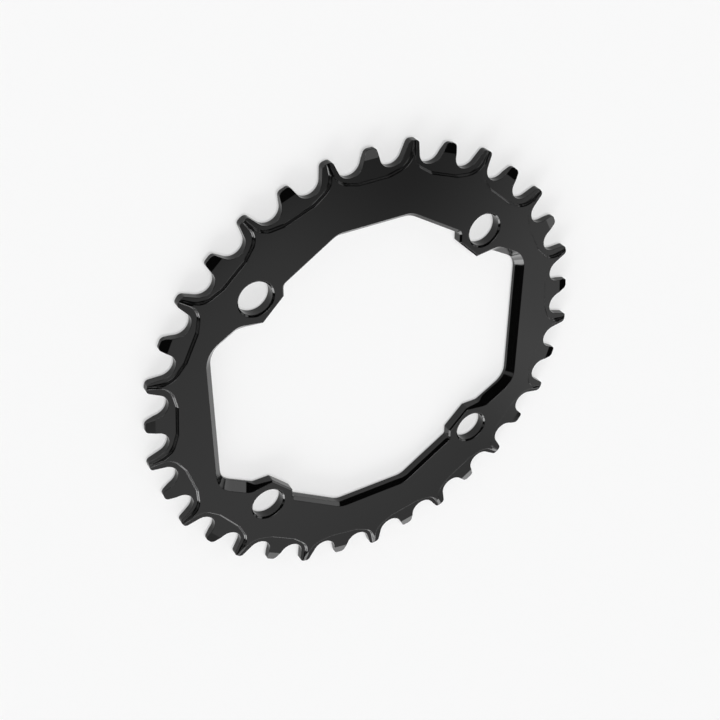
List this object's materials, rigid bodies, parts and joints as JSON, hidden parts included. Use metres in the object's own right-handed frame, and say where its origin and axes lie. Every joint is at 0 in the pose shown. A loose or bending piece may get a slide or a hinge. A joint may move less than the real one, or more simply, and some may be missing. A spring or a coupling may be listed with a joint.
{
  "type": "bicycle chainring",
  "caption": "Flat ring with thick and thin chain teeth in turn round its rim and bolt tabs inside, bolted to a crank spider to drive the chain.",
  "frame": {"origin": "on the crank's axis, in the plane of the ring's back face, on which it lies", "axes": "+Z along the crank's axis, out of the front face that looks away from the bicycle; +X and +Y run midway between neighbouring bolt holes"},
  "size_m": [0.1433, 0.1432, 0.0037],
  "materials": {
    "black_anodised": "gloss black anodised"
  },
  "bodies": {
    "root": {"chainring": "black_anodised"}
  },
  "joints": []
}
